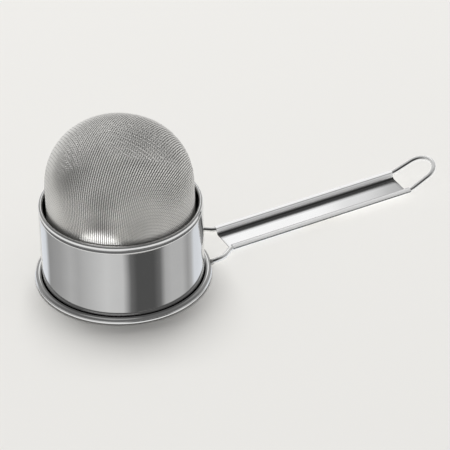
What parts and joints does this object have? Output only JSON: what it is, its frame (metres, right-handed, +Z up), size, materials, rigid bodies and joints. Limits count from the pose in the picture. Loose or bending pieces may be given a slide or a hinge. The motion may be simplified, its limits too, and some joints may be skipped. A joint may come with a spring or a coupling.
{
  "type": "tea strainer",
  "caption": "Handheld tea strainer with a domed woven-mesh basket, a cylindrical sheet collar with a wired rolled rim, and a sheet grip on a bent wire handle with a hanging loop.",
  "frame": {"origin": "centre of the rim's resting circle, on the surface that the strainer stands on with its dome up", "axes": "+Z up out of the rim towards the dome's top, +X along the handle, XZ is the plane of symmetry"},
  "size_m": [0.1774, 0.07, 0.0686],
  "materials": {
    "polished_sheet": "bright polished stainless steel, faint spun brushing round the collar",
    "wire": "bright drawn stainless wire",
    "woven_mesh": "plain-weave stainless wire cloth, satin wires",
    "grip_sheet": "bright polished stainless sheet, faint lengthwise brushing",
    "weld": "small tumbled weld bead, slightly dull"
  },
  "bodies": {
    "root": {"outer_band": "polished_sheet", "rim_wire": "wire", "inner_ring": "polished_sheet", "mesh_basket": "woven_mesh", "handle_wire": "wire", "handle_grip": "grip_sheet", "weld_left": "weld", "weld_right": "weld"}
  },
  "joints": []
}
